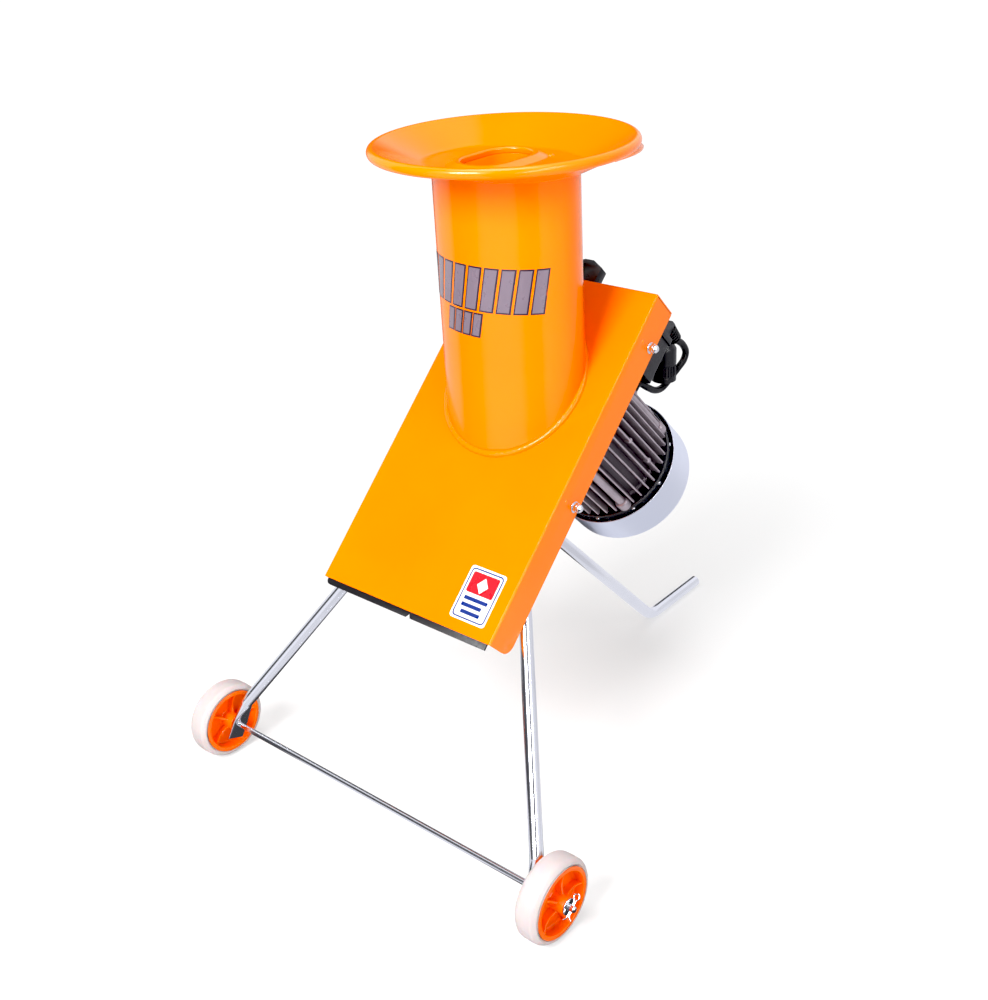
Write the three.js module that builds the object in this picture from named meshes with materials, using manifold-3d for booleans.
// Electric garden wood chipper on a two-wheeled stand.
//
// Millimetres, +Z up. +X runs along the wheel axle, +Y runs backward from the wheels to the rear
// foot. The machine is drawn from the ground under the middle of the axle, and the last lines move
// it so that the origin is on the ground under the middle of its whole footprint. Branches go down
// the upright hopper, through the sloping cover, onto a cutting disc that the motor behind turns.
// Chips leave at the bottom edge of the housing.

import * as THREE from 'three';
import { mergeVertices } from 'three/addons/utils/BufferGeometryUtils.js';
import Module from 'manifold-3d';

const wasm = await Module();
wasm.setup();

// ---------------------------------------------------------------------------------------------
// Driving dimensions
// ---------------------------------------------------------------------------------------------

const GAP = 0.3; // clearance between pieces that touch on the real machine
const SLOPE = THREE.MathUtils.degToRad(43.5); // cover plate, from the horizontal

// Stand and wheels
const WHEEL_RADIUS = 62.5;
const WHEEL_WIDTH = 40;
const WHEEL_HUB_RADIUS = 54;
const HALF_TRACK = 338;
const AXLE_RADIUS = 4.5;
const LEG_RADIUS = 10;
const FRONT_LEG_FOOT = new THREE.Vector3(300, 17, 98); // where the leg tube starts to flatten
const FRONT_LEG_HEAD = new THREE.Vector3(151, 192, 347);
const REAR_LEG_SLOPE_POSITION = 230; // up the slope from the housing's lower edge
const REAR_FOOT_END_Y = 886;

// Housing, measured in its own sloping frame
const HOUSING_EDGE = new THREE.Vector3(0, 98, 343); // lower front edge, middle
const HOUSING_WIDTH = 330;
const HOUSING_LENGTH = 560;
const HOUSING_DEPTH = 54;
const COVER_SHEET = 2.5;
const TRAY_SHEET = 3;
const TRAY_BACK_DEPTH = 51;
const STUD_SLOPE_POSITIONS = [231, 492];
const STUD_DEPTH = 40;
const STUD_RADIUS = 4;

// Hopper
const TUBE_CENTRE_Y = 370;
const TUBE_HALF_WIDTH = 115;
const TUBE_HALF_LENGTH = 85;
const TUBE_WALL = 3;
const RIM_HEIGHT = 952; // centre of the rolled edge
const RIM_RADIUS = 181.5;
const RIM_BEAD_RADIUS = 7.5;
const DISH_DEPTH = 26.5;
const DISH_FLOOR_MARGIN = 11; // flat floor beyond the tube, all round
const SLOT_CENTRE = new THREE.Vector2(-22, 10); // from the tube's axis
const SLOT_HALF_WIDTH = 36;
const SLOT_HALF_LENGTH = 58;
const CHUTE_WALL = 2.5;

// Cutting disc and motor, about one axis square to the cover
const MOTOR_X = 39;
const MOTOR_SLOPE_POSITION = 379;
const DISC_RADIUS = 112;
const DISC_DEPTH = 20;
const DISC_THICKNESS = 10;
const KNIFE_THICKNESS = 6;
const SHAFT_RADIUS = 12.5;
const STATOR_RADIUS = 84;
const FIN_HEIGHT = 18;
const FIN_COUNT = 40;
const STATOR_START = 82;
const STATOR_END = 258;
const REAR_SHIELD_END = 280;
const FAN_COVER_RADIUS = 110;
const FAN_COVER_END = 346;

// ---------------------------------------------------------------------------------------------
// Shape helpers
// ---------------------------------------------------------------------------------------------

const machine = new THREE.Group();

// The sloping frame: x across, y up the slope, z straight out of the cover plate, so depth is -z.
const slope = new THREE.Group();
slope.position.copy(HOUSING_EDGE);
slope.rotation.x = SLOPE;
machine.add(slope);

// The drive's frame: the same directions, on the motor's axis.
const drive = new THREE.Group();
drive.position.set(MOTOR_X, MOTOR_SLOPE_POSITION, 0);
slope.add(drive);

const LOOKS = {
  paint: { color: 0xff8c00, roughness: 0.25, metalness: 0 },
  zinc: { color: 0xd8dbe0, roughness: 0.25, metalness: 1 },
  steel: { color: 0x9a9da2, roughness: 0.35, metalness: 1 },
  castAluminium: { color: 0x8d8590, roughness: 0.5, metalness: 1 },
  blackPlastic: { color: 0x17171a, roughness: 0.45, metalness: 0 },
  rubber: { color: 0x0c0c0c, roughness: 0.8, metalness: 0 },
  tyre: { color: 0xeee2e0, roughness: 0.45, metalness: 0 },
  wheelHub: { color: 0xf05a10, roughness: 0.4, metalness: 0 },
  copper: { color: 0xb0603a, roughness: 0.4, metalness: 1 },
  green: { color: 0x1d8a3a, roughness: 0.4, metalness: 0 },
  red: { color: 0xc01818, roughness: 0.4, metalness: 0 },
};

function add(name, geometry, look, parent = machine) {
  const mesh = new THREE.Mesh(geometry, new THREE.MeshStandardMaterial(LOOKS[look]));
  mesh.name = name;
  parent.add(mesh);
  return mesh;
}

function toSolid(geometry) {
  const bare = geometry.clone();
  bare.deleteAttribute('normal');
  bare.deleteAttribute('uv');
  const merged = mergeVertices(bare, 1e-4);
  return new wasm.Manifold(new wasm.Mesh({
    numProp: 3,
    vertProperties: new Float32Array(merged.attributes.position.array),
    triVerts: new Uint32Array(merged.index.array),
  }));
}

function toGeometry(body) {
  const mesh = body.getMesh();
  const geometry = new THREE.BufferGeometry();
  geometry.setAttribute('position', new THREE.BufferAttribute(mesh.vertProperties, 3));
  geometry.setIndex(new THREE.BufferAttribute(mesh.triVerts, 1));
  geometry.computeVertexNormals();
  return geometry;
}

function cut(base, ...tools) {
  return toGeometry(tools.reduce((body, tool) => body.subtract(toSolid(tool)), toSolid(base)));
}

function join(...pieces) {
  return toGeometry(pieces.slice(1).reduce((body, piece) => body.add(toSolid(piece)), toSolid(pieces[0])));
}

function box(low, high) {
  const [x0, y0, z0] = low;
  const [x1, y1, z1] = high;
  const geometry = new THREE.BoxGeometry(x1 - x0, y1 - y0, z1 - z0);
  return geometry.translate((x0 + x1) / 2, (y0 + y1) / 2, (z0 + z1) / 2);
}

// A round bar from one point to another.
function bar(from, to, radius, segments = 16) {
  const start = new THREE.Vector3(...from);
  const along = new THREE.Vector3(...to).sub(start);
  const geometry = new THREE.CylinderGeometry(radius, radius, along.length(), segments);
  geometry.applyQuaternion(new THREE.Quaternion().setFromUnitVectors(
    new THREE.Vector3(0, 1, 0), along.clone().normalize()));
  return geometry.translate(...start.addScaledVector(along, 0.5).toArray());
}

// A turned piece about Z, from a closed or axis-to-axis profile of [radius, z] pairs listed
// anticlockwise, with the radius to the right and z upward.
function turned(profile, segments = 24) {
  const points = profile.map(([radius, z]) => new THREE.Vector2(radius, z));
  return new THREE.LatheGeometry(points, segments).rotateX(Math.PI / 2);
}

// A flat-faced piece: an outline drawn in x and y, raised from z = bottom to z = top.
function raised(outline, bottom, top, curveSegments = 8) {
  const settings = { depth: top - bottom, bevelEnabled: false, curveSegments };
  return new THREE.ExtrudeGeometry(outline, settings).translate(0, 0, bottom);
}

// A piece with one outline all along X, drawn in y and z.
function across(outline, start, end) {
  const turn = new THREE.Matrix4().makeBasis(
    new THREE.Vector3(0, 1, 0), new THREE.Vector3(0, 0, 1), new THREE.Vector3(1, 0, 0));
  return raised(outline, start, end).applyMatrix4(turn);
}

function ovalOutline(centre, halfWidth, halfLength) {
  return new THREE.Shape().absellipse(centre.x, centre.y, halfWidth, halfLength, 0, 2 * Math.PI);
}

// A slot with round ends, long in y.
function slotOutline(centre, halfWidth, halfLength) {
  const straight = halfLength - halfWidth;
  const outline = new THREE.Shape();
  outline.moveTo(centre.x + halfWidth, centre.y - straight);
  outline.lineTo(centre.x + halfWidth, centre.y + straight);
  outline.absarc(centre.x, centre.y + straight, halfWidth, 0, Math.PI);
  outline.lineTo(centre.x - halfWidth, centre.y - straight);
  outline.absarc(centre.x, centre.y - straight, halfWidth, Math.PI, 2 * Math.PI);
  return outline;
}

function roundedRectangle(low, high, radius) {
  const [x0, y0] = low;
  const [x1, y1] = high;
  const outline = new THREE.Shape();
  outline.moveTo(x0 + radius, y0);
  outline.absarc(x1 - radius, y0 + radius, radius, -Math.PI / 2, 0);
  outline.absarc(x1 - radius, y1 - radius, radius, 0, Math.PI / 2);
  outline.absarc(x0 + radius, y1 - radius, radius, Math.PI / 2, Math.PI);
  outline.absarc(x0 + radius, y0 + radius, radius, Math.PI, 1.5 * Math.PI);
  return outline;
}

// A round bar or cable that follows a smooth curve through points.
function cable(points, radius, steps, segments = 4) {
  const path = new THREE.CatmullRomCurve3(points.map((point) => new THREE.Vector3(...point)));
  const section = new THREE.Shape().absarc(0, 0, radius, 0, 2 * Math.PI);
  return new THREE.ExtrudeGeometry(section, { steps, extrudePath: path, curveSegments: segments });
}

// Everything behind a plane parallel to the cover, as a cutting tool in machine coordinates.
function behindSlope(depth) {
  const geometry = box([-400, -600, -900], [400, 900, -depth]);
  return geometry.applyMatrix4(slopeMatrix());
}

function slopeMatrix() {
  slope.updateMatrix();
  return slope.matrix;
}

// ---------------------------------------------------------------------------------------------
// Hopper
// ---------------------------------------------------------------------------------------------

const DISH_SHEET = 3;
const DISH_FLOOR_TOP = RIM_HEIGHT - DISH_DEPTH;
const tubeCentre = new THREE.Vector2(0, TUBE_CENTRE_Y);
const slotCentre = tubeCentre.clone().add(SLOT_CENTRE);

// The dish is spun round at its rim and oval at its floor, so a turned shell is squeezed towards
// the tube's oval as its radius falls.
function hopperDish() {
  const floorRadius = TUBE_HALF_WIDTH + DISH_FLOOR_MARGIN;
  const bead = [];
  const beadSteps = 6;
  for (let step = 0; step <= beadSteps; step += 1) {
    const angle = THREE.MathUtils.degToRad(-120 + (300 * step) / beadSteps);
    bead.push([RIM_RADIUS + RIM_BEAD_RADIUS * Math.cos(angle), RIM_BEAD_RADIUS * Math.sin(angle)]);
  }
  const innerKnee = [floorRadius, -DISH_DEPTH];
  const profile = [
    [0, -DISH_DEPTH - DISH_SHEET],
    [floorRadius + 1, -DISH_DEPTH - DISH_SHEET],
    ...bead,
    innerKnee,
    [0, -DISH_DEPTH],
  ];
  const shell = turned(profile, 44);
  const position = shell.attributes.position;
  const floorHalfLength = TUBE_HALF_LENGTH + DISH_FLOOR_MARGIN;
  for (let index = 0; index < position.count; index += 1) {
    const x = position.getX(index);
    const y = position.getY(index);
    const outward = THREE.MathUtils.clamp(
      (Math.hypot(x, y) - floorRadius) / (RIM_RADIUS - RIM_BEAD_RADIUS - floorRadius), 0, 1);
    const squeeze = THREE.MathUtils.lerp(floorHalfLength / floorRadius, 1, outward);
    position.setY(index, y * squeeze);
  }
  shell.translate(tubeCentre.x, tubeCentre.y, RIM_HEIGHT);
  const slot = raised(slotOutline(slotCentre, SLOT_HALF_WIDTH, SLOT_HALF_LENGTH),
    DISH_FLOOR_TOP - 20, DISH_FLOOR_TOP + 20);
  return cut(shell, slot);
}

function hopperTube() {
  const outline = ovalOutline(tubeCentre, TUBE_HALF_WIDTH, TUBE_HALF_LENGTH);
  outline.holes.push(ovalOutline(tubeCentre, TUBE_HALF_WIDTH - TUBE_WALL, TUBE_HALF_LENGTH - TUBE_WALL));
  const top = DISH_FLOOR_TOP - DISH_SHEET - GAP;
  return cut(raised(outline, HOUSING_EDGE.z, top, 24), behindSlope(-GAP));
}

// The chute hangs under the slot, inside the tube, and ends just above the knives.
function feedChute() {
  const halfWidth = SLOT_HALF_WIDTH + CHUTE_WALL;
  const halfLength = SLOT_HALF_LENGTH + CHUTE_WALL;
  const outline = slotOutline(slotCentre, halfWidth, halfLength);
  outline.holes.push(slotOutline(slotCentre, SLOT_HALF_WIDTH, SLOT_HALF_LENGTH));
  const top = DISH_FLOOR_TOP - DISH_SHEET - GAP;
  const chuteEndDepth = 10;
  return cut(raised(outline, HOUSING_EDGE.z, top), behindSlope(chuteEndDepth));
}

add('hopper_dish', hopperDish(), 'paint');
add('hopper_tube', hopperTube(), 'paint');
add('feed_chute', feedChute(), 'paint');

// ---------------------------------------------------------------------------------------------
// Housing
// ---------------------------------------------------------------------------------------------

const halfWidth = HOUSING_WIDTH / 2;

// The folded cover: a plate with side and top flanges, open at the back and at the lower edge.
function frontCover() {
  const cornerRadius = 18;
  const side = new THREE.Shape();
  side.moveTo(0, 0);
  side.lineTo(0, -HOUSING_DEPTH + cornerRadius);
  side.absarc(cornerRadius, -HOUSING_DEPTH + cornerRadius, cornerRadius, Math.PI, 1.5 * Math.PI);
  side.lineTo(HOUSING_LENGTH, -HOUSING_DEPTH);
  side.lineTo(HOUSING_LENGTH, 0);
  const blank = across(side, -halfWidth, halfWidth);
  const inside = box([-halfWidth + COVER_SHEET, -50, -HOUSING_DEPTH - 50],
    [halfWidth - COVER_SHEET, HOUSING_LENGTH - COVER_SHEET, -COVER_SHEET]);
  const holes = STUD_SLOPE_POSITIONS.map((position) => bar(
    [-halfWidth - 5, position, -STUD_DEPTH], [halfWidth + 5, position, -STUD_DEPTH], STUD_RADIUS + 0.6));
  const feedOpening = raised(
    slotOutline(slotCentre, SLOT_HALF_WIDTH + CHUTE_WALL + GAP, SLOT_HALF_LENGTH + CHUTE_WALL + GAP),
    0, RIM_HEIGHT).applyMatrix4(slopeMatrix().clone().invert());
  return cut(blank, inside, ...holes, feedOpening);
}

// The tray behind the cover carries the motor and the stand. Weld studs in its side flanges
// pass through the cover.
function baseTray() {
  const outer = halfWidth - COVER_SHEET - GAP;
  const front = 24; // depth at which the side flanges start
  const low = 8;
  const high = HOUSING_LENGTH - COVER_SHEET - GAP;
  const shaftHoleRadius = 40;
  const block = box([-outer, low, -TRAY_BACK_DEPTH], [outer, high, -front]);
  const hollow = box([-outer + TRAY_SHEET, low - 5, -TRAY_BACK_DEPTH + TRAY_SHEET],
    [outer - TRAY_SHEET, high + 5, -front + 5]);
  const shaftHole = bar([MOTOR_X, MOTOR_SLOPE_POSITION, -70], [MOTOR_X, MOTOR_SLOPE_POSITION, -20],
    shaftHoleRadius, 40);
  const studEnd = halfWidth + 10.5;
  const studs = STUD_SLOPE_POSITIONS.flatMap((position) => [-1, 1].map((side) => bar(
    [side * (outer - 1), position, -STUD_DEPTH], [side * studEnd, position, -STUD_DEPTH], STUD_RADIUS, 12)));
  const tray = cut(block, hollow, shaftHole);
  return join(tray, ...studs);
}

// A rubber sheet that hangs behind the cover's lower edge, with a small notch near its middle.
function dischargeFlap() {
  const halfSpan = halfWidth - COVER_SHEET - TRAY_SHEET - 2;
  const low = -9;
  const high = 55;
  const cornerRadius = 8;
  const notchX = 12;
  const notchHalfWidth = 5;
  const notchHeight = 7.5;
  const outline = new THREE.Shape();
  outline.moveTo(-halfSpan, high);
  outline.lineTo(-halfSpan, low + cornerRadius);
  outline.absarc(-halfSpan + cornerRadius, low + cornerRadius, cornerRadius, Math.PI, 1.5 * Math.PI);
  outline.lineTo(notchX - notchHalfWidth, low);
  outline.lineTo(notchX, low + notchHeight);
  outline.lineTo(notchX + notchHalfWidth, low);
  outline.lineTo(halfSpan, low);
  outline.lineTo(halfSpan, high);
  const front = COVER_SHEET + 0.5;
  const sheet = 3;
  return raised(outline, -front - sheet, -front);
}

// The fixed edge that the knives cut against, under the cover below the chute.
function counterBlade() {
  const edge = 264; // slope position of its cutting edge
  const bladeWidth = 24;
  const bladeBack = 12; // depth, just clear of the knives
  const ends = [SLOT_CENTRE.x - SLOT_HALF_WIDTH - 2, SLOT_CENTRE.x + SLOT_HALF_WIDTH + 2];
  const outline = roundedRectangle([ends[0], edge - bladeWidth], [ends[1], edge], 2);
  return raised(outline, -bladeBack, -COVER_SHEET - GAP, 2);
}

function washer(outer, inner, thickness) {
  return turned([[inner, 0], [outer, 0], [outer, thickness], [inner, thickness], [inner, 0]], 18);
}

// A domed nut with its seat at z = 0, for a stud end that reaches 8 mm or so into it.
function domedNut(acrossFlats, bore) {
  const radius = acrossFlats / Math.sqrt(3);
  const height = 6;
  const hexagon = new THREE.CylinderGeometry(radius, radius, height, 6).rotateX(Math.PI / 2)
    .translate(0, 0, height / 2);
  const crown = turned([[0, height - 1], [acrossFlats * 0.46, height - 1], [acrossFlats * 0.42, height + 3],
    [acrossFlats * 0.25, height + 6], [0, height + 7]], 16);
  const hole = bar([0, 0, -1], [0, 0, height + 3], bore, 12);
  return cut(join(hexagon, crown), hole);
}

// Stud ends, outward, with the side (-1 or 1) that they stand on.
function placeOnStuds(makeAndName) {
  const levels = ['lower', 'upper'];
  STUD_SLOPE_POSITIONS.forEach((position, level) => {
    [-1, 1].forEach((side) => {
      const seat = new THREE.Group();
      seat.position.set(side * (halfWidth + GAP), position, -STUD_DEPTH);
      seat.rotation.y = side * Math.PI / 2;
      slope.add(seat);
      makeAndName(seat, `${levels[level]}_${side < 0 ? 'left' : 'right'}`);
    });
  });
}

const WASHER_THICKNESS = 1.6;

add('front_cover', frontCover(), 'paint', slope);
add('base_tray', baseTray(), 'paint', slope);
add('discharge_flap', dischargeFlap(), 'rubber', slope);
add('counter_blade', counterBlade(), 'steel', slope);
placeOnStuds((seat, place) => {
  add(`cover_washer_${place}`, washer(8.5, STUD_RADIUS + 0.4, WASHER_THICKNESS), 'zinc', seat);
  const nut = add(`cover_nut_${place}`, domedNut(13, STUD_RADIUS + GAP), 'zinc', seat);
  nut.position.z = WASHER_THICKNESS + GAP;
});

// ---------------------------------------------------------------------------------------------
// Cutting disc and rotor
// ---------------------------------------------------------------------------------------------

const KNIFE_START = 28; // from the motor's axis
const KNIFE_END = 106;
const KNIFE_EDGE = 16; // how far the cutting edge stands ahead of the disc's diameter

// The disc, with a chip window under each knife's edge and two paddles on its back that throw the
// chips out. Its second half is the first half turned round.
function cuttingDisc() {
  const back = -DISC_DEPTH - DISC_THICKNESS;
  const disc = bar([0, 0, back], [0, 0, -DISC_DEPTH], DISC_RADIUS, 48);
  const bore = bar([0, 0, back - 5], [0, 0, -DISC_DEPTH + 5], SHAFT_RADIUS + GAP, 24);
  const windowHalfWidth = 6;
  const window = box([KNIFE_START, KNIFE_EDGE - 1 - windowHalfWidth, back - 5],
    [KNIFE_END, KNIFE_EDGE - 1 + windowHalfWidth, -DISC_DEPTH + 5]);
  const paddleDepth = 12;
  const paddleHalfThickness = 2.5;
  const paddle = box([-paddleHalfThickness, 45, back - paddleDepth], [paddleHalfThickness, 108, back + 1]);
  const withTwin = (piece) => [piece, piece.clone().rotateZ(Math.PI)];
  return join(cut(disc, bore, ...withTwin(window)), ...withTwin(paddle));
}

// A bevelled bar bolted flat on the disc, its edge over the disc's window.
function knife() {
  const heel = -18;
  const bevel = 7;
  const section = new THREE.Shape();
  section.moveTo(heel, 0);
  section.lineTo(KNIFE_EDGE - bevel, 0);
  section.lineTo(KNIFE_EDGE, KNIFE_THICKNESS);
  section.lineTo(heel, KNIFE_THICKNESS);
  return across(section, KNIFE_START, KNIFE_END).translate(0, 0, -DISC_DEPTH + GAP);
}

function discHub() {
  const front = -DISC_DEPTH - DISC_THICKNESS - GAP;
  const back = -50;
  const inner = SHAFT_RADIUS + GAP;
  const outer = 24;
  const flange = 34;
  const flangeBack = front - 5;
  return turned([[inner, back], [outer, back], [outer, flangeBack], [flange, flangeBack], [flange, front],
    [inner, front], [inner, back]], 24);
}

const DISC_BOLT_RADIUS = 5;
const DISC_BOLT_LENGTH = 25;

// A flanged hexagon bolt into the end of the shaft, which holds the disc on it.
function discBolt() {
  const flangeHeight = 2.5;
  const headHeight = 7;
  const head = new THREE.CylinderGeometry(11, 11, headHeight, 6).rotateX(Math.PI / 2)
    .translate(0, 0, flangeHeight + headHeight / 2 - 0.5);
  const flange = bar([0, 0, 0], [0, 0, flangeHeight], 17, 24);
  const shank = bar([0, 0, -DISC_BOLT_LENGTH], [0, 0, 1], DISC_BOLT_RADIUS, 12);
  return join(flange, head, shank).translate(0, 0, -DISC_DEPTH + GAP);
}

const SHAFT_START = 22;
const SHAFT_END = 312;

function motorShaft() {
  const shaft = bar([0, 0, -SHAFT_END], [0, 0, -SHAFT_START], SHAFT_RADIUS, 24);
  const boltHole = bar([0, 0, -DISC_DEPTH - DISC_BOLT_LENGTH - 3], [0, 0, 0], DISC_BOLT_RADIUS + GAP, 12);
  return cut(shaft, boltHole);
}

// A ring or sleeve about the motor's axis.
function sleeve(inner, outer, front, back, segments = 24) {
  return turned([[inner, back], [outer, back], [outer, front], [inner, front], [inner, back]], segments);
}

function coolingFan() {
  const front = -288;
  const back = -308;
  const hubRadius = 26;
  const bladeEnd = 92;
  const plateBack = front - 4;
  const bore = SHAFT_RADIUS + GAP;
  const hub = turned([[bore, back], [hubRadius, back], [hubRadius, plateBack], [bladeEnd, plateBack],
    [bladeEnd, front], [bore, front], [bore, back]], 28);
  const bladeCount = 8;
  const blades = Array.from({ length: bladeCount }, (_, number) => {
    const blade = box([hubRadius - 2, -1.5, back], [bladeEnd, 1.5, plateBack + 1]);
    return blade.rotateZ((number * 2 * Math.PI) / bladeCount);
  });
  return join(hub, ...blades);
}

const CORE_FRONT = -112;
const CORE_BACK = -218;
const ROTOR_RADIUS = 49.5;

add('cutting_disc', cuttingDisc(), 'steel', drive);
add('knife_a', knife(), 'steel', drive);
add('knife_b', knife(), 'steel', drive).rotation.z = Math.PI;
add('disc_hub', discHub(), 'steel', drive);
add('disc_bolt', discBolt(), 'zinc', drive);
add('motor_shaft', motorShaft(), 'steel', drive);
add('rotor_core', sleeve(SHAFT_RADIUS + GAP, ROTOR_RADIUS, CORE_FRONT, CORE_BACK), 'steel', drive);
add('cooling_fan', coolingFan(), 'blackPlastic', drive);

// ---------------------------------------------------------------------------------------------
// Motor
// ---------------------------------------------------------------------------------------------

const BEARING_RADIUS = 26;
const FRONT_BEARING_BACK = -72;
const REAR_BEARING_FRONT = -264;
const REAR_BEARING_BACK = -277;
const STATOR_BORE = 76;
const LUG_CENTRE_RADIUS = STATOR_RADIUS + 11;
const LUG_ANGLES = [45, 135, 225, 315].map(THREE.MathUtils.degToRad);
const TIE_BOLT_RADIUS = 3;
const SWITCH_PAD_TOP = 108; // from the motor's axis
const SWITCH_PAD_FRONT = -98;
const SWITCH_PAD_BACK = -147;
const LEAD_END_ANGLE = THREE.MathUtils.degToRad(14.7); // about the motor's axis, from up the slope
const LEAD_BOSS_TOP = 106; // from the motor's axis
const LEAD_BOSS_DEPTH = 200;

// The flange that carries the motor on the tray, with the front bearing's seat.
function frontShield() {
  const face = -TRAY_BACK_DEPTH - GAP;
  const end = -STATOR_START + GAP;
  const flangeRadius = 98;
  const flangeBack = face - 12;
  const shaftOpening = 16;
  const lip = face - 3;
  const inner = 70;
  const outer = STATOR_RADIUS + 2;
  return turned([[inner, end], [outer, end], [outer, flangeBack], [flangeRadius, flangeBack],
    [flangeRadius, face], [shaftOpening, face], [shaftOpening, lip], [BEARING_RADIUS + GAP, lip],
    [BEARING_RADIUS + GAP, FRONT_BEARING_BACK], [inner, FRONT_BEARING_BACK], [inner, end]], 28);
}

function finnedOutline() {
  const outline = new THREE.Shape();
  const pitch = (2 * Math.PI) / FIN_COUNT;
  const finTip = STATOR_RADIUS + FIN_HEIGHT;
  const halfRoot = 1.9 / STATOR_RADIUS;
  const halfTip = 1.4 / finTip;
  for (let fin = 0; fin < FIN_COUNT; fin += 1) {
    const middle = fin * pitch;
    [[STATOR_RADIUS, -halfRoot], [finTip, -halfTip], [finTip, halfTip], [STATOR_RADIUS, halfRoot]]
      .forEach(([radius, offset], corner) => {
        const angle = middle + offset;
        const move = fin === 0 && corner === 0 ? 'moveTo' : 'lineTo';
        outline[move](radius * Math.cos(angle), radius * Math.sin(angle));
      });
  }
  outline.holes.push(new THREE.Path().absellipse(0, 0, STATOR_BORE, STATOR_BORE, 0, 2 * Math.PI));
  return outline;
}

// The cast finned housing, with a bolt channel at each quarter and a flat pad for the switch box.
function statorHousing() {
  const body = raised(finnedOutline(), -STATOR_END, -STATOR_START, 14);
  const lugs = LUG_ANGLES.flatMap((angle) => {
    const halfWeb = 4.5;
    const bossRadius = 8;
    const web = box([STATOR_RADIUS - 3, -halfWeb, -STATOR_END], [LUG_CENTRE_RADIUS, halfWeb, -STATOR_START]);
    const boss = bar([LUG_CENTRE_RADIUS, 0, -STATOR_END], [LUG_CENTRE_RADIUS, 0, -STATOR_START],
      bossRadius, 14);
    return [web.rotateZ(angle), boss.rotateZ(angle)];
  });
  const channels = LUG_ANGLES.map((angle) => bar([LUG_CENTRE_RADIUS, 0, -STATOR_END - 5],
    [LUG_CENTRE_RADIUS, 0, -STATOR_START + 5], TIE_BOLT_RADIUS + GAP, 8).rotateZ(angle));
  const pad = box([-38, STATOR_RADIUS - 6, SWITCH_PAD_BACK], [38, SWITCH_PAD_TOP, SWITCH_PAD_FRONT]);
  const leadBoss = bar([0, STATOR_RADIUS - 4, -LEAD_BOSS_DEPTH], [0, LEAD_BOSS_TOP, -LEAD_BOSS_DEPTH], 8, 14)
    .rotateZ(-LEAD_END_ANGLE);
  return cut(join(body, ...lugs, pad, leadBoss), ...channels);
}

// The black end plate behind the stator, with the rear bearing's seat.
function rearShield() {
  const end = -REAR_SHIELD_END;
  const face = -STATOR_END - GAP;
  const radius = STATOR_RADIUS + FIN_HEIGHT + 2;
  const rimRadius = STATOR_BORE + 2;
  const shaftOpening = 16;
  const shield = turned([[shaftOpening, end], [radius, end], [radius, face], [rimRadius, face],
    [rimRadius, REAR_BEARING_FRONT], [BEARING_RADIUS + GAP, REAR_BEARING_FRONT],
    [BEARING_RADIUS + GAP, REAR_BEARING_BACK], [shaftOpening, REAR_BEARING_BACK], [shaftOpening, end]], 32);
  const holes = LUG_ANGLES.map((angle) => bar([LUG_CENTRE_RADIUS, 0, end - 5],
    [LUG_CENTRE_RADIUS, 0, face + 5], TIE_BOLT_RADIUS + GAP, 8).rotateZ(angle));
  return cut(shield, ...holes);
}

function bearing(front, back) {
  return sleeve(SHAFT_RADIUS + GAP, BEARING_RADIUS, front - GAP, back + GAP);
}

const STATOR_CORE_FRONT = CORE_FRONT + 2;
const STATOR_CORE_BACK = CORE_BACK - 2;
const STATOR_CORE_BORE = ROTOR_RADIUS + 4;

// The windings: a coil ring beyond each end of the core, joined by a lining along the core's bore.
function statorWinding() {
  const coilLength = 20;
  const coilRadius = STATOR_BORE - 4;
  const inner = ROTOR_RADIUS + 1.5;
  const lining = STATOR_CORE_BORE - 0.9;
  const front = STATOR_CORE_FRONT + 0.5;
  const back = STATOR_CORE_BACK - 0.5;
  return turned([[inner, back - coilLength], [coilRadius, back - coilLength], [coilRadius, back],
    [lining, back], [lining, front], [coilRadius, front], [coilRadius, front + coilLength],
    [inner, front + coilLength], [inner, back - coilLength]]);
}

// A long bolt through the rear shield and the whole stator housing.
function tieBolt() {
  const headHeight = 4;
  const seat = -REAR_SHIELD_END - GAP;
  const head = new THREE.CylinderGeometry(5.8, 5.8, headHeight, 6).rotateX(Math.PI / 2)
    .translate(0, 0, seat - headHeight / 2);
  const shank = bar([0, 0, seat - 1], [0, 0, -STATOR_START - 2], TIE_BOLT_RADIUS, 8);
  return join(head, shank);
}

function fanCover() {
  const sheet = 1.5;
  const front = -268;
  const round = 14;
  const corner = (radius) => Array.from({ length: 4 }, (_, step) => {
    const angle = -Math.PI / 2 + (step * Math.PI) / 6;
    return [FAN_COVER_RADIUS - round + radius * Math.cos(angle),
      -FAN_COVER_END + round + radius * Math.sin(angle)];
  });
  const shell = turned([[0, -FAN_COVER_END], ...corner(round), [FAN_COVER_RADIUS, front],
    [FAN_COVER_RADIUS - sheet, front], ...corner(round - sheet).reverse(), [0, -FAN_COVER_END + sheet]], 36);
  const slotCount = 12;
  const slotHalfWidth = 3.5;
  const slots = Array.from({ length: slotCount }, (_, number) => box(
    [26, -slotHalfWidth, -FAN_COVER_END - 5], [80, slotHalfWidth, -FAN_COVER_END + 5])
    .rotateZ((number * 2 * Math.PI) / slotCount));
  return cut(shell, ...slots);
}

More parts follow.
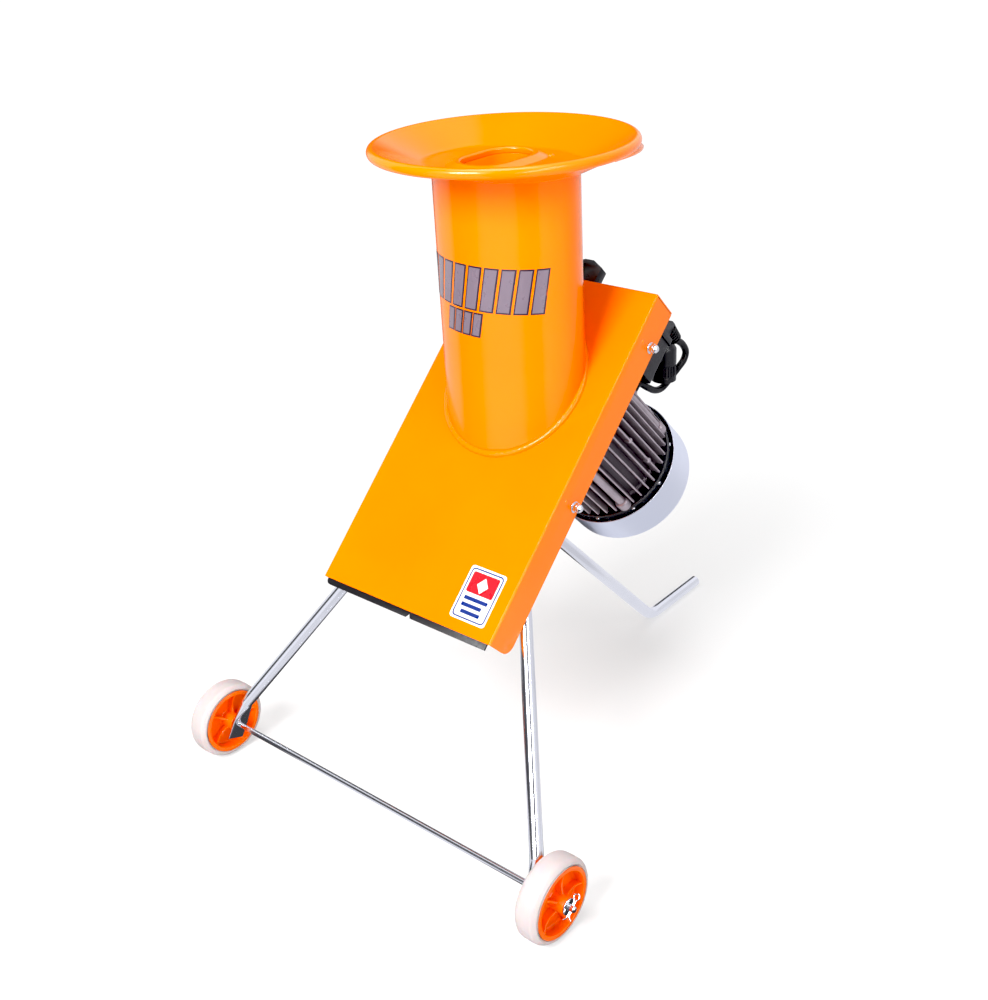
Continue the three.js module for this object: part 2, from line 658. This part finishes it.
add('motor_front_shield', frontShield(), 'castAluminium', drive);
add('stator_housing', statorHousing(), 'castAluminium', drive);
const statorCore = sleeve(STATOR_CORE_BORE, STATOR_BORE - 1, STATOR_CORE_FRONT, STATOR_CORE_BACK);
add('stator_core', statorCore, 'steel', drive);
add('stator_winding', statorWinding(), 'copper', drive);
add('front_bearing', bearing(-TRAY_BACK_DEPTH - GAP - 3, FRONT_BEARING_BACK), 'steel', drive);
add('rear_bearing', bearing(REAR_BEARING_FRONT, REAR_BEARING_BACK), 'steel', drive);
add('motor_rear_shield', rearShield(), 'blackPlastic', drive);
add('fan_cover', fanCover(), 'zinc', drive);
LUG_ANGLES.forEach((angle, number) => {
  const bolt = add(`tie_bolt_${number + 1}`, tieBolt(), 'zinc', drive);
  bolt.position.set(LUG_CENTRE_RADIUS * Math.cos(angle), LUG_CENTRE_RADIUS * Math.sin(angle), 0);
});

// ---------------------------------------------------------------------------------------------
// Switch gear, in the sloping frame
// ---------------------------------------------------------------------------------------------

const SWITCH_BOX_BASE = MOTOR_SLOPE_POSITION + SWITCH_PAD_TOP + GAP;
const SWITCH_BOX_TOP = 556;
const SWITCH_BOX_LEFT = -45;
const SWITCH_BOX_RIGHT = 110;
const SWITCH_BOX_FRONT = -66;
const SWITCH_BOX_BACK = -172;
const LID_TOP = 566;
const BUTTON_BLOCK_LEFT = -47;
const BUTTON_BLOCK_RIGHT = 9;
const BUTTON_BLOCK_TOP = 621;
const BUTTON_BLOCK_BACK = -74;
const BUTTON_FACE = -56;
const BUTTON_RADIUS = 9;
const BUTTON_WELL_DEPTH = 14;
const BUTTON_X = -32;
const BUTTONS = { start_button: [602, 'green'], stop_button: [579, 'red'] }; // place up the slope
const LEAD_RADIUS = 4.4;
const LEAD_EXIT = [90, 585]; // across, and up the slope
const INLET_X = 85;
const INLET_NECK_SLOPE_POSITION = 543;

// A box or lid: its outline is drawn in x and depth, and it is raised up the slope.
function upTheSlope(outline, bottom, top) {
  return raised(outline, bottom, top, 4).rotateX(-Math.PI / 2);
}

// Flips a depth range into the outline's y, which the rotation above turns back into z.
function outlineAt(left, right, front, back, radius) {
  return roundedRectangle([left, -front], [right, -back], radius);
}

function switchBox() {
  const wall = 3;
  const outer = upTheSlope(outlineAt(SWITCH_BOX_LEFT, SWITCH_BOX_RIGHT, SWITCH_BOX_FRONT, SWITCH_BOX_BACK, 8),
    SWITCH_BOX_BASE, SWITCH_BOX_TOP);
  const inner = upTheSlope(outlineAt(SWITCH_BOX_LEFT + wall, SWITCH_BOX_RIGHT - wall,
    SWITCH_BOX_FRONT - wall, SWITCH_BOX_BACK + wall, 5), SWITCH_BOX_BASE + wall, SWITCH_BOX_TOP + 5);
  return cut(outer, inner);
}

// The lid, with a wedge-shaped hood at its back that the motor lead leaves from.
function switchBoxLid() {
  const overhang = 2;
  const plate = upTheSlope(outlineAt(SWITCH_BOX_LEFT - overhang, SWITCH_BOX_RIGHT + overhang,
    SWITCH_BOX_FRONT + overhang, SWITCH_BOX_BACK - overhang, 9), SWITCH_BOX_TOP + GAP, LID_TOP);
  const [exitX, exitU] = LEAD_EXIT;
  const hoodHalfWidth = 11;
  const hoodTop = exitU + 9.5;
  const hoodLength = 70;
  const wedge = new THREE.Shape();
  wedge.moveTo(LID_TOP - 1, SWITCH_BOX_BACK);
  wedge.lineTo(hoodTop, SWITCH_BOX_BACK);
  wedge.lineTo(hoodTop, SWITCH_BOX_BACK + 10);
  wedge.lineTo(LID_TOP, SWITCH_BOX_BACK + hoodLength);
  wedge.lineTo(LID_TOP - 1, SWITCH_BOX_BACK + hoodLength);
  const hood = across(wedge, exitX - hoodHalfWidth, exitX + hoodHalfWidth);
  const exit = bar([exitX, exitU, SWITCH_BOX_BACK - 5], [exitX, exitU, SWITCH_BOX_BACK + 15], 8 + GAP, 16);
  return cut(join(plate, hood), exit);
}

// A flat control head that stands on the lid, its upper corners cut off.
function buttonBlock() {
  const chamferAcross = 20;
  const chamferDown = 10;
  const outline = new THREE.Shape();
  outline.moveTo(BUTTON_BLOCK_LEFT, LID_TOP + GAP);
  outline.lineTo(BUTTON_BLOCK_RIGHT, LID_TOP + GAP);
  outline.lineTo(BUTTON_BLOCK_RIGHT, BUTTON_BLOCK_TOP - chamferDown);
  outline.lineTo(BUTTON_BLOCK_RIGHT - chamferAcross, BUTTON_BLOCK_TOP);
  outline.lineTo(BUTTON_BLOCK_LEFT + chamferAcross, BUTTON_BLOCK_TOP);
  outline.lineTo(BUTTON_BLOCK_LEFT, BUTTON_BLOCK_TOP - chamferDown);
  const wells = Object.values(BUTTONS).map(([u]) => bar(
    [BUTTON_X, u, BUTTON_FACE + 5], [BUTTON_X, u, BUTTON_FACE - BUTTON_WELL_DEPTH], BUTTON_RADIUS + 0.5, 24));
  return cut(raised(outline, BUTTON_BLOCK_BACK, BUTTON_FACE), ...wells);
}

// A push button with its block's face at z = 0, and room behind it to be pressed.
function pushButton() {
  const travelRoom = 4.5;
  const inner = travelRoom - BUTTON_WELL_DEPTH;
  const proud = 4.5;
  const chamfer = 1.5;
  return turned([[0, inner], [BUTTON_RADIUS, inner], [BUTTON_RADIUS, proud - chamfer],
    [BUTTON_RADIUS - chamfer, proud], [0, proud]], 20);
}

function capacitor() {
  const radius = 19;
  const length = 78;
  const spigot = 6;
  return turned([[0, 0], [radius, 0], [radius, length], [spigot, length], [spigot, length + spigot],
    [0, length + spigot]]);
}

// A ribbed strain relief with its seat at z = 0, and the lead's hole along its middle.
function leadGland() {
  const ribCount = 5;
  const ribPitch = 6.6;
  const ribWidth = 3.8;
  const firstRib = 3;
  const ribs = Array.from({ length: ribCount }, (_, rib) => {
    const base = firstRib + rib * ribPitch;
    const radius = 13.5 - rib * 0.6;
    const waist = radius - 2.4;
    return [[waist, base], [radius, base], [radius, base + ribWidth], [waist, base + ribWidth]];
  }).flat();
  const end = firstRib + ribCount * ribPitch;
  const boreRadius = LEAD_RADIUS + 2 * GAP;
  return turned([[boreRadius, -10], [8, -10], [8, 0], [11.1, 0], ...ribs,
    [8.5, end], [boreRadius, end], [boreRadius, -10]], 18);
}

// The lead keeps straight inside the gland, loops down behind the mains inlet, and ends on the
// motor's lead boss.
const [EXIT_X, EXIT_U] = LEAD_EXIT;
const overLeadBoss = (radius) => [MOTOR_X + radius * Math.sin(LEAD_END_ANGLE),
  MOTOR_SLOPE_POSITION + radius * Math.cos(LEAD_END_ANGLE), -LEAD_BOSS_DEPTH];
const LEAD_POINTS = [[EXIT_X, EXIT_U, -164], [EXIT_X, EXIT_U, -186], [EXIT_X, EXIT_U, -208],
  [EXIT_X, 590, -231], [EXIT_X, 587, -251], [EXIT_X, 574, -257], [89, 560, -249], [80, 543, -261],
  [70, 522, -266], [70, 508, -249], [70, 501, -226], overLeadBoss(119), overLeadBoss(LEAD_BOSS_TOP + 0.7)];

// The mains inlet: a neck from the box's back, and an upright collar, open below, round two pins.
function mainsInlet() {
  const neckStart = onSlope(INLET_X, INLET_NECK_SLOPE_POSITION, SWITCH_BOX_BACK - GAP);
  const neckEnd = onSlope(INLET_X, INLET_NECK_SLOPE_POSITION, SWITCH_BOX_BACK - 37);
  const neck = bar(neckStart.toArray(), neckEnd.toArray(), 10, 16);
  const radius = 20;
  const wall = 2.5;
  const height = 34;
  const socketDepth = 18;
  const collar = turned([[0, socketDepth], [radius - wall, socketDepth], [radius - wall, 0], [radius, 0],
    [radius, height], [radius - 3, height + 6], [radius - 9, height + 9], [0, height + 10]], 24);
  const pinSpacing = 9.5;
  const pins = [-pinSpacing, pinSpacing].map((x) => bar([x, 0, 2], [x, 0, socketDepth + 1], 2.4, 10));
  const collarBase = [INLET_X, neckEnd.y + 5, neckEnd.z - 32];
  const upright = [collar, ...pins].map((piece) => piece.translate(...collarBase));
  return join(...upright, neck);
}

// A point in machine coordinates from its place across, up the slope, and out of the cover plate.
function onSlope(x, u, out) {
  return new THREE.Vector3(x, u, out).applyMatrix4(slopeMatrix());
}

add('switch_box', switchBox(), 'blackPlastic', slope);
add('switch_box_lid', switchBoxLid(), 'blackPlastic', slope);
add('button_block', buttonBlock(), 'blackPlastic', slope);
Object.entries(BUTTONS).forEach(([name, [u, look]]) => {
  add(name, pushButton(), look, slope).position.set(BUTTON_X, u, BUTTON_FACE);
});
const capacitorMesh = add('run_capacitor', capacitor(), 'blackPlastic', slope);
capacitorMesh.position.set(-36, 522, (SWITCH_BOX_FRONT + SWITCH_BOX_BACK) / 2);
capacitorMesh.rotation.y = Math.PI / 2;
const gland = add('lead_gland', leadGland(), 'blackPlastic', slope);
gland.position.set(...LEAD_EXIT, SWITCH_BOX_BACK - GAP);
gland.rotation.y = Math.PI;
add('motor_lead', cable(LEAD_POINTS, LEAD_RADIUS, 40), 'rubber', slope);
add('mains_inlet', mainsInlet(), 'blackPlastic');

// ---------------------------------------------------------------------------------------------
// Stand
// ---------------------------------------------------------------------------------------------

const TAB_END = new THREE.Vector3(311, -8, 39);
const TAB_HALF_THICKNESS = 2.2;
const TAB_SPREAD = 1.5; // how much wider the squashed tube is than the round one

// The lower end of a front leg: the tube squashed flat and drilled for the axle. Each ring of the
// tube is clipped to the flat thickness and spread sideways.
function squashedEnd() {
  const rings = 6;
  const geometry = new THREE.CylinderGeometry(1, 1, 1, 18, rings);
  const position = geometry.attributes.position;
  for (let index = 0; index < position.count; index += 1) {
    const along = 0.5 - position.getY(index);
    const flat = THREE.MathUtils.smoothstep(along, 0, 0.5);
    const limit = THREE.MathUtils.lerp(LEG_RADIUS, TAB_HALF_THICKNESS, flat);
    const spread = LEG_RADIUS * THREE.MathUtils.lerp(1, TAB_SPREAD, flat);
    const centre = new THREE.Vector3().lerpVectors(FRONT_LEG_FOOT, TAB_END, along);
    const across = THREE.MathUtils.clamp(position.getX(index) * LEG_RADIUS, -limit, limit);
    position.setXYZ(index, centre.x + across, centre.y - position.getZ(index) * spread, centre.z);
  }
  return geometry;
}

function frontLeg() {
  const tube = bar(FRONT_LEG_FOOT.toArray(), FRONT_LEG_HEAD.toArray(), LEG_RADIUS, 18);
  const bend = new THREE.SphereGeometry(LEG_RADIUS, 14, 8).translate(...FRONT_LEG_FOOT.toArray());
  const axleHole = bar([290, 0, WHEEL_RADIUS], [330, 0, WHEEL_RADIUS], AXLE_RADIUS + 0.2, 16);
  const pad = box([128, 50, -60], [159, 84, -TRAY_BACK_DEPTH - GAP]).applyMatrix4(slopeMatrix());
  return cut(join(tube, bend, squashedEnd(), pad), axleHole);
}

function mirrored(geometry) {
  const copy = geometry.clone().scale(-1, 1, 1);
  const corners = copy.index.array;
  for (let corner = 0; corner < corners.length; corner += 3) {
    [corners[corner + 1], corners[corner + 2]] = [corners[corner + 2], corners[corner + 1]];
  }
  copy.computeVertexNormals();
  return copy;
}

// A straight tube square to the tray's back, bent where it meets the ground into a level foot.
function rearLeg() {
  const start = onSlope(0, REAR_LEG_SLOPE_POSITION, -TRAY_BACK_DEPTH - GAP);
  const down = new THREE.Vector3(0, Math.sin(SLOPE), -Math.cos(SLOPE));
  const length = (start.z - LEG_RADIUS) / Math.cos(SLOPE);
  const corner = start.clone().addScaledVector(down, length);
  const end = new THREE.Vector3(0, REAR_FOOT_END_Y, LEG_RADIUS);
  const bendReach = 22;
  const bendStart = corner.clone().addScaledVector(down, -bendReach);
  const bendEnd = corner.clone().add(new THREE.Vector3(0, bendReach, 0));
  const path = new THREE.QuadraticBezierCurve3(bendStart, corner, bendEnd);
  const section = new THREE.Shape().absarc(0, 0, LEG_RADIUS, 0, 2 * Math.PI);
  const bend = new THREE.ExtrudeGeometry(section, { steps: 5, extrudePath: path, curveSegments: 9 });
  const upper = bar(start.toArray(), bendStart.clone().addScaledVector(down, 0.5).toArray(), LEG_RADIUS, 18);
  const foot = bar([0, bendEnd.y - 0.5, LEG_RADIUS], end.toArray(), LEG_RADIUS, 18);
  const openEnd = bar([0, end.y - 40, LEG_RADIUS], [0, end.y + 5, LEG_RADIUS], LEG_RADIUS - 2, 16);
  return cut(join(upper, bend, foot), openEnd);
}

const rightLeg = frontLeg();
add('right_leg', rightLeg, 'zinc');
add('left_leg', mirrored(rightLeg), 'zinc');
add('rear_leg', rearLeg(), 'zinc');

// ---------------------------------------------------------------------------------------------
// Wheels and axle, each wheel in a frame whose z runs outward along the axle
// ---------------------------------------------------------------------------------------------

const HUB_BOSS_HALF_LENGTH = 26;
const TYRE_SEAT_RADIUS = 49;
const TYRE_LIP = 7; // how far in from each face the seat starts
const AXLE_END = HALF_TRACK + HUB_BOSS_HALF_LENGTH + 13;
const SPLIT_PIN_OFFSET = HALF_TRACK + HUB_BOSS_HALF_LENGTH + 7;
const SPLIT_PIN_RADIUS = 1.6;

function tyre() {
  const half = WHEEL_WIDTH / 2;
  const shoulder = 9;
  const arc = (start, centreZ) => Array.from({ length: 4 }, (_, step) => {
    const angle = start + (step * Math.PI) / 6;
    return [WHEEL_RADIUS - shoulder + shoulder * Math.cos(angle), centreZ + shoulder * Math.sin(angle)];
  });
  const seatEnd = half - 1 - TYRE_LIP;
  return turned([[WHEEL_HUB_RADIUS, -half + 1], ...arc(-Math.PI / 2, -half + shoulder),
    ...arc(0, half - shoulder), [WHEEL_HUB_RADIUS, half - 1], [TYRE_SEAT_RADIUS, seatEnd],
    [TYRE_SEAT_RADIUS, -seatEnd], [WHEEL_HUB_RADIUS, -half + 1]], 28);
}

function wheelHub() {
  const half = WHEEL_WIDTH / 2 - 1;
  const seat = TYRE_SEAT_RADIUS - GAP;
  const edge = WHEEL_HUB_RADIUS - GAP;
  const rimInner = 45;
  const web = 2.5;
  const bossRadius = 13;
  const profile = [[AXLE_RADIUS + 0.2, -HUB_BOSS_HALF_LENGTH], [bossRadius, -HUB_BOSS_HALF_LENGTH],
    [bossRadius, -web], [rimInner, -web], [rimInner, -half], [edge, -half],
    [seat, -half + TYRE_LIP], [seat, half - TYRE_LIP], [edge, half], [rimInner, half],
    [rimInner, web], [bossRadius, web], [bossRadius, HUB_BOSS_HALF_LENGTH],
    [AXLE_RADIUS + 0.2, HUB_BOSS_HALF_LENGTH], [AXLE_RADIUS + 0.2, -HUB_BOSS_HALF_LENGTH]];
  const ribCount = 5;
  const ribs = Array.from({ length: ribCount }, (_, number) => box(
    [bossRadius - 1, -2, -half + 5], [rimInner + 1, 2, half - 5]).rotateZ((number * 2 * Math.PI) / ribCount));
  return join(turned(profile, 28), ...ribs);
}

// A split pin through the axle: a doubled wire with a round eye at one end, along y.
function splitPin() {
  const wire = bar([0, -14, 0], [0, 13, 0], SPLIT_PIN_RADIUS, 8);
  const eye = new THREE.TorusGeometry(3.6, 1.4, 6, 12).rotateY(Math.PI / 2).translate(0, 15.5, 0);
  return join(wire, eye);
}

function axle() {
  const rod = bar([-AXLE_END, 0, WHEEL_RADIUS], [AXLE_END, 0, WHEEL_RADIUS], AXLE_RADIUS, 18);
  const pinDirection = [0, Math.SQRT1_2, Math.SQRT1_2];
  const holes = [-1, 1].map((side) => bar(
    [side * SPLIT_PIN_OFFSET, -20 * pinDirection[1], WHEEL_RADIUS - 20 * pinDirection[2]],
    [side * SPLIT_PIN_OFFSET, 20 * pinDirection[1], WHEEL_RADIUS + 20 * pinDirection[2]],
    SPLIT_PIN_RADIUS + GAP, 12));
  return cut(rod, ...holes);
}

add('axle', axle(), 'zinc');
[[-1, 'left'], [1, 'right']].forEach(([side, name]) => {
  const wheel = new THREE.Group();
  wheel.position.set(side * HALF_TRACK, 0, WHEEL_RADIUS);
  wheel.rotation.y = side * Math.PI / 2;
  machine.add(wheel);
  add(`${name}_tyre`, tyre(), 'tyre', wheel);
  add(`${name}_hub`, wheelHub(), 'wheelHub', wheel);
  const axleWasher = add(`${name}_axle_washer`, washer(12, AXLE_RADIUS + 0.2, 2), 'zinc', wheel);
  axleWasher.position.z = HUB_BOSS_HALF_LENGTH + GAP;
  const pin = add(`${name}_split_pin`, splitPin(), 'zinc');
  pin.position.set(side * SPLIT_PIN_OFFSET, 0, WHEEL_RADIUS);
  pin.rotation.x = Math.PI / 4;
});

const part = new THREE.Group();
machine.position.y = (WHEEL_RADIUS - REAR_FOOT_END_Y) / 2;
part.add(machine);

export default part;
